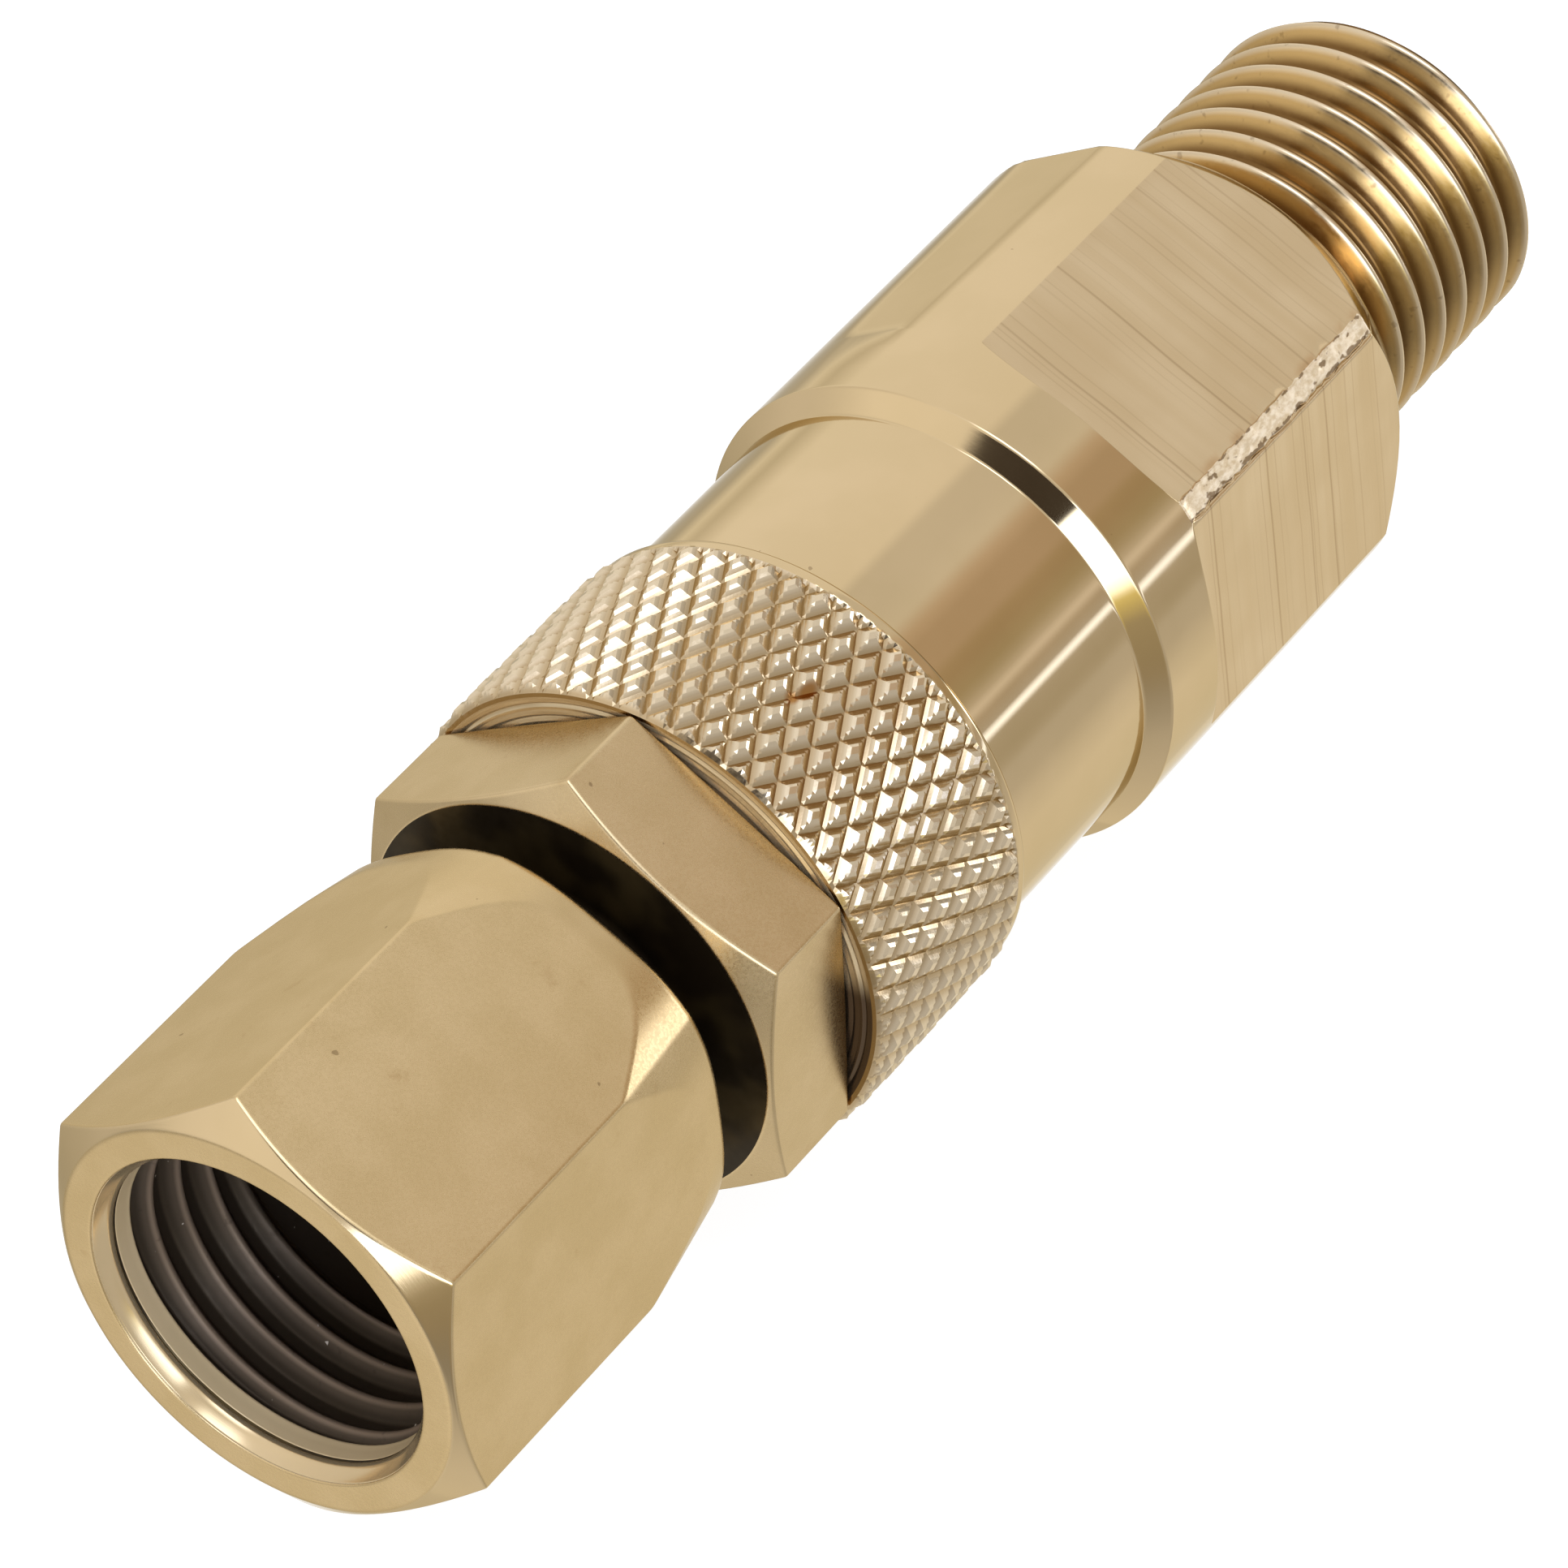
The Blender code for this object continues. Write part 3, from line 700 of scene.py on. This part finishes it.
def body():
    cols = body_columns()
    rng = np.random.RandomState(11)
    knots = np.linspace(42.0, 60.0, 73)
    rag_hi, rag_lo = rng.uniform(-1, 1, 73), rng.uniform(-1, 1, 73)
    lift = rng.uniform(-1, 1, (40, 73))
    lo, hi = BURR
    per = []
    for i, a in enumerate(cols):
        deg = (math.degrees(a) + 180.0) % 360.0 - 180.0
        d = min(float(away(a, c)) for c in FLATS)
        full = d < EDGE
        s0 = float(flat_start(d)) if full else 44.0
        fr = min(BODY_H / math.cos(d), BARREL) if full else BARREL
        pr = [(24.3, 7.4), (24.3, 7.95), (24.55, 8.2), (31.25, 8.2), (31.25, NECK), (39.55, NECK), (40.25, BARREL),
              (s0, BARREL), (s0 + 0.02, fr), (flat_end(fr), fr), (FACE_S, FACE_R), (FACE_S, 6.95),
              (57.7, 6.05), (RUN_S, 6.05), (RUN_S, 3.0), (40.9, 3.0), (40.9, 5.2), (30.6, 5.2), (30.6, 7.4)]
        cu = [0.1, 0.1, 0.1, 0.1, 0.12, 0.035, 0.05, 0.03, 0.03, 0.06, 0.06, 0.1, 0.1, None, 0.05, 0.1, 0.1, 0.1, 0.1]
        torn = lo - 0.6 < deg < hi + 0.6
        col = []
        for s, r in section(pr, cu, 3, {4: 4, 6: 2, 8: 44, 14: 4}, 0.06):
            turn = a
            if s > 43.3 and r > 8.3 and s < FACE_S - 0.3:
                if not full and not torn:
                    cone = BARREL - (s - CHAM_S) * (BARREL - FACE_R) / (FACE_S - CHAM_S)
                    r = min(r, barrel_radius(s, a), cone)
                if torn and s < flat_end(BARREL) + 0.1:
                    k_hi, k_lo = np.interp(s, knots, rag_hi), np.interp(s, knots, rag_lo)
                    up = np.interp(s, knots, lift[i % 40])
                    ease = min(1.0, max(0.0, (s - 44.02) / 0.25), max(0.0, (flat_end(BARREL) + 0.1 - s) / 0.35))
                    inside = lo - 0.05 < deg < hi + 0.02
                    if inside:
                        r = r * (1 - ease) + (9.55 + 0.045 * up) * ease
                    elif deg < lo:
                        r = r - ease * max(0.0, 0.19 + 0.12 * k_lo) * max(0.0, 1.0 - abs(deg - (lo - 0.25)) / 0.35)
                    if deg > hi - 2.0:
                        turn = a + math.radians(0.42 * k_hi * min(1.0, (hi + 0.75 - deg) / 0.3)) * ease
                    elif deg < lo + 1.0:
                        turn = a + math.radians(0.45 * k_lo * min(1.0, (deg - (lo - 0.75)) / 0.3)) * ease
            col.append((s, r, turn))
        per.append(np.array([at(s, r, turn) for s, r, turn in col]))
    ob = build("body_visual", np.stack(per, axis=1))

    def pick(s, r, a, n):
        d = np.min([away(a, c) for c in FLATS], axis=0)
        fr = np.minimum(BODY_H / np.cos(np.minimum(d, EDGE)), BARREL)
        on = (s > flat_start(d) + 0.01) & (s < flat_end(fr) - 0.03) & (r > 8.3)
        out = np.where(on & (d < EDGE + 0.001), 1, 0)
        deg = np.degrees(a)
        land = (deg > lo - 0.1) & (deg < hi + 0.1) & (s > 43.9) & (s < flat_end(BARREL) + 0.02) & (r > 9.3)
        return np.where(land, 2, out)

    slots_by(ob, [M_BODY, M_FLAT, M_LAND], pick)
    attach(ob, "body")
    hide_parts("body")
    return ob


def body_thread():
    cols = np.linspace(0, TAU, 145)
    phases = np.array(PHASES)
    start, end, crest_r, root_r = RUN_S + 0.15, 70.2, 6.85, 6.08
    base = 58.773                     # a crest passes a = 0 a whole number of pitches from here
    turns = int(math.ceil((end - start) / PITCH)) + 2
    steps = np.append(np.concatenate([phases + k for k in range(turns)]), float(turns))
    per = []
    for a in cols:
        share = a / TAU
        col = [(RUN_S, 3.0), (RUN_S, 3.1), (RUN_S, 5.9), (RUN_S, 6.03), (RUN_S + 0.06, 6.05)]
        for q in steps:
            s = base + (q - share) * PITCH
            sc = min(max(s, start), end)
            ph = (sc - base) / PITCH + share
            r = root_r + (crest_r - root_r) * float(thread_shape(np.array(ph), 0.045, 0.10))
            r = min(r, 6.05 + max(0.0, sc - start - 0.05) * 1.0, crest_r - max(0.0, sc - 69.72) * 0.95)
            col.append((sc, r))
        col += [(70.3, 6.02), (70.37, 5.93), (70.4, 5.83), (70.4, 5.7), (70.4, 4.6), (70.4, 4.5), (70.34, 4.38),
                (70.2, 4.28), (68.2, 3.12), (68.0, 3.02), (67.8, 3.0), (62.5, 3.0)]
        per.append(np.array([at(s, r, a) for s, r in col]))
    ob = build("body_thread_visual", np.stack(per, axis=1))
    slots_by(ob, [M_THREAD, M_BODY], lambda s, r, a, n: np.where((r < 5.9) | (s < RUN_S + 0.1), 1, 0))
    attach(ob, "body")
    return ob


# ---------------------------------------------------------------- inside pieces
def ring(name, node, body_name, profile, cuts, mat, slot_name, columns=120):
    ob = turned(name, profile, cuts, columns)
    ob.data.materials.append(mat)
    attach(ob, body_name)
    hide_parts(node)
    return ob


def inside():
    ring("slip_ring_visual", "slip_ring", "slip_ring",
         [(12.35, 5.0), (12.35, 6.4), (13.45, 6.4), (13.45, 5.0)], [0.15] * 4, M_BRONZE, "bronze")
    ring("rear_thrust_washer_visual", "rear_thrust_washer", "body",
         [(29.45, 5.25), (29.45, 7.1), (30.35, 7.1), (30.35, 5.25)], [0.1] * 4, M_BRONZE, "bronze")
    ring("wiper_ring_visual", "wiper_ring", "body",
         [(22.3, 5.35), (22.3, 6.35), (22.9, 6.35), (22.9, 5.15)], [0.1] * 4, M_NITRILE, "nitrile")
    groove = [(26.3 - 1.12 * math.cos(t), 6.15 - 1.12 * math.sin(t)) for t in
              [math.radians(x) for x in np.linspace(-52, 52, 9)]]
    front = [(24.25, 5.2), (24.25, 7.15), (25.6, 7.15)] + groove + [(25.6, 5.2)]
    ring("front_race_visual", "front_race", "body", front, [0.1, 0.1, 0.05] + [None] * 9 + [0.05], M_STEEL,
         "bearing_steel")
    for i, g0 in enumerate((32.6, 36.4)):
        ring("backup_ring_%d_visual" % (i + 1), "backup_ring_%d" % (i + 1), "spindle",
             [(g0 + 0.15, 3.95), (g0 + 0.15, 5.1), (g0 + 0.85, 5.1), (g0 + 0.85, 3.95)], [0.06] * 4, M_PTFE, "ptfe")
        tube = [(g0 + 1.7 - 0.6 * math.cos(t), 4.525 + 0.6 * math.sin(t)) for t in np.linspace(0, TAU, 25)[:-1]]
        ring("o_ring_%d_visual" % (i + 1), "o_ring_%d" % (i + 1), "spindle", tube, [None] * 24, M_NITRILE, "nitrile")
    for k in range(16):
        a = TAU * (k + 0.5) / 16
        me = bpy.data.meshes.new("ball_%02d_visual" % (k + 1))
        bm = bmesh.new()
        x, y, z = at(26.3, 6.15, a)
        bmesh.ops.create_icosphere(bm, subdivisions=4, radius=1.0 * MM, matrix=Matrix.Translation((x, y, z)))
        for f in bm.faces:
            f.smooth = True
        bm.to_mesh(me)
        bm.free()
        ob = bpy.data.objects.new("ball_%02d_visual" % (k + 1), me)
        scene.collection.objects.link(ob)
        me.materials.append(M_STEEL)
        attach(ob, "ball_set")
        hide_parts("ball_%02d" % (k + 1))


nut()
spindle()
collar()
body()
body_thread()
inside()


# ------------------------------------------------------- floor, studio, camera
def floor():
    me = bpy.data.meshes.new("floor")
    bm = bmesh.new()
    bmesh.ops.create_circle(bm, cap_ends=True, segments=96, radius=1.2)
    bm.to_mesh(me)
    bm.free()
    ob = bpy.data.objects.new("floor", me)
    ob.location = (0.0, 0.0, -0.00002)
    scene.collection.objects.link(ob)
    mat = bpy.data.materials.new("pale_floor")
    mat.use_nodes = True
    t = mat.node_tree
    sh = t.nodes["Principled BSDF"]
    sh.inputs["Base Color"].default_value = (0.30, 0.30, 0.30, 1.0)
    sh.inputs["Roughness"].default_value = 1.0
    sh.inputs["Specular IOR Level"].default_value = 0.0
    sh.inputs["Emission Color"].default_value = (1.0, 1.0, 1.0, 1.0)
    sh.inputs["Emission Strength"].default_value = 0.86
    me.materials.append(mat)
    ob.visible_glossy = False
    return ob


def studio():
    """A soft studio as a world: bright walls, a darker quarter to the camera's
    right, one narrow strip light and the dark of the camera itself."""
    w = bpy.data.worlds.new("studio")
    scene.world = w
    w.use_nodes = True
    t = w.node_tree
    t.nodes.clear()
    out = t.nodes.new("ShaderNodeOutputWorld")

    def put(sock, v):
        if hasattr(v, "is_output"):
            t.links.new(v, sock)
        else:
            sock.default_value = v

    def math_(op, a, b=0.0, clamp=False):
        n = t.nodes.new("ShaderNodeMath")
        n.operation = op
        n.use_clamp = clamp
        put(n.inputs[0], a)
        put(n.inputs[1], b)
        return n.outputs[0]

    def span(v, lo, hi, a=0.0, b=1.0):
        n = t.nodes.new("ShaderNodeMapRange")
        n.interpolation_type = "SMOOTHSTEP"
        put(n.inputs["Value"], v)
        for key, x in (("From Min", lo), ("From Max", hi), ("To Min", a), ("To Max", b)):
            n.inputs[key].default_value = x
        return n.outputs["Result"]

    def mix(f, a, b):
        n = t.nodes.new("ShaderNodeMix")
        n.data_type = "RGBA"
        put(n.inputs[0], f)
        put(n.inputs[6], a)
        put(n.inputs[7], b)
        return n.outputs[2]

    co = t.nodes.new("ShaderNodeTexCoord")
    sep = t.nodes.new("ShaderNodeSeparateXYZ")
    t.links.new(co.outputs["Generated"], sep.inputs[0])
    x, y, z = sep.outputs
    # angle round the swivel's axis, 0.5 straight up, more towards +Y
    turn = math_("ADD", math_("MULTIPLY", math_("ARCTAN2", y, z), 1.0 / TAU), 0.5)

    def ramp(stops):
        n = t.nodes.new("ShaderNodeValToRGB")
        n.color_ramp.interpolation = "LINEAR"
        els = n.color_ramp.elements
        while len(els) > 1:
            els.remove(els[-1])
        stops = sorted(stops)
        for i, (deg, c) in enumerate(stops):
            e = els[0] if i == 0 else els.new((deg + 180.0) / 360.0)
            e.position = (deg + 180.0) / 360.0
            e.color = (*c, 1.0) if isinstance(c, tuple) else (c, c, c, 1.0)
        put(n.inputs["Fac"], turn)
        return n.outputs["Color"]

    warm = (0.60, 0.50, 0.41)
    # round the axis, for what faces square across it
    far = ramp([(-180, 0.99), (-138, 0.97), (-124, 0.84), (-114, 0.70), (-104.4, 0.67), (-100.4, (0.59, 0.575, 0.535)),
                (-96.4, (0.56, 0.54, 0.49)), (-86.6, (0.60, 0.58, 0.55)),
                (-85.0, (2.0, 2.3, 3.1)), (-83.6, (2.0, 2.3, 3.1)), (-82.0, (0.62, 0.61, 0.62)), (-75.4, (0.60, 0.55, 0.50)),
                (-71.8, (0.92, 0.90, 0.92)), (-68.4, (0.72, 0.69, 0.66)), (-64.4, (0.57, 0.525, 0.435)),
                (-60.4, (0.51, 0.45, 0.33)), (-52.4, (0.50, 0.41, 0.295)), (-48.4, (0.52, 0.43, 0.31)), (-44, warm),
                (-32, warm), (-26, (0.70, 0.60, 0.52)), (-19, 0.84), (-8, 0.80), (6, 0.80), (11, 1.0),
                (80, (1.09, 1.11, 1.17)), (95, 0.82), (104, (1.06, 1.07, 1.11)), (114, 0.68), (124, 0.67), (133, 0.83), (150, 1.1)])
    # the same for what faces back towards the nut's end
    near = ramp([(-180, 1.0), (-150, 0.60), (-138, 0.36), (-120, (0.42, 0.38, 0.30)), (-98, (0.48, 0.44, 0.33)),
                 (-87, (1.0, 0.92, 0.40)), (-81, (2.4, 2.7, 3.0)),
                 (-73, (3.2, 3.7, 4.8)), (-40, (3.2, 3.7, 4.8)), (-35, 0.8), (-30, 0.75), (-10, 0.75), (4, 0.80),
                 (14, 1.05), (60, 1.12), (86, 1.0), (98, 0.70), (108, 0.50), (125, 0.75), (150, 1.04)])
    # between the two: a window that only the knurl's facets and the chamfers see
    mid = ramp([(-180, 0.95), (-140, 0.62), (-70, 0.60), (-38, 0.75), (-22, 0.95), (-14, (3.0, 3.4, 4.2)),
                (3, (3.1, 3.4, 4.2)), (13, (1.10, 1.12, 1.18)), (50, 0.94), (90, 0.84), (130, 0.62), (160, 0.85)])
    # and the dull end of the room behind the male end
    end = ramp([(-180, 0.65), (-100, 0.42), (-40, 0.46), (10, 0.72), (60, 0.80), (110, 0.60), (150, 0.5)])
    col = mix(span(x, -0.60, -0.32), near, mid)
    col = mix(span(x, 0.22, 0.42), col, far)
    col = mix(span(x, 0.90, 0.955), col, end)
    # the camera and whoever stands behind it
    def round_to(lo, hi, soft):
        lo, hi, soft = lo / 360.0 + 0.5, hi / 360.0 + 0.5, soft / 360.0
        return math_("MULTIPLY", span(turn, lo - soft, lo), span(turn, hi, hi + soft, 1.0, 0.0))

    band = math_("MULTIPLY", span(x, -0.885, -0.865), span(x, -0.755, -0.735, 1.0, 0.0))
    col = mix(math_("MULTIPLY", band, round_to(-40.0, 20.0, 3.0)), col, (0.07, 0.06, 0.055, 1.0))
    # the window's lower part, as the nut's front chamfer sees it
    band = span(x, -0.895, -0.915)
    col = mix(math_("MULTIPLY", band, round_to(-92.0, -68.0, 4.0)), col, (3.2, 3.5, 4.2, 1.0))
    # the window again, as the nut's tapered end sees it
    band = math_("MULTIPLY", span(x, 0.77, 0.83), span(x, 0.92, 0.95, 1.0, 0.0))
    col = mix(math_("MULTIPLY", band, round_to(-86.0, -66.0, 5.0)), col, (4.2, 4.5, 5.2, 1.0))
    bg = t.nodes.new("ShaderNodeBackground")
    put(bg.inputs["Color"], col)
    bg.inputs["Strength"].default_value = 1.0
    white = t.nodes.new("ShaderNodeBackground")
    white.inputs["Color"].default_value = (1.0, 1.0, 1.0, 1.0)
    white.inputs["Strength"].default_value = 1.02
    path = t.nodes.new("ShaderNodeLightPath")
    pick = t.nodes.new("ShaderNodeMixShader")
    t.links.new(path.outputs["Is Camera Ray"], pick.inputs[0])
    t.links.new(bg.outputs[0], pick.inputs[1])
    t.links.new(white.outputs[0], pick.inputs[2])
    t.links.new(pick.outputs[0], out.inputs["Surface"])


def camera():
    cam = bpy.data.cameras.new("camera")
    cam.sensor_fit = "HORIZONTAL"
    cam.sensor_width = 36.0
    cam.lens = 183.02
    cam.clip_start, cam.clip_end = 0.01, 10.0
    ob = bpy.data.objects.new("camera", cam)
    scene.collection.objects.link(ob)
    right = Vector((0.55387, -0.83261, 0.0))
    down = Vector((-0.57237, -0.38078, -0.72619))
    ahead = Vector((0.60467, 0.40222, -0.68749))
    m = Matrix((right, -down, -ahead)).transposed().to_4x4()
    m.translation = Vector((-0.16966, -0.10971, 0.19682))
    ob.matrix_world = m
    scene.camera = ob
    return ob


floor()
studio()
camera()
scene.view_settings.view_transform = "Standard"
scene.view_settings.look = "None"
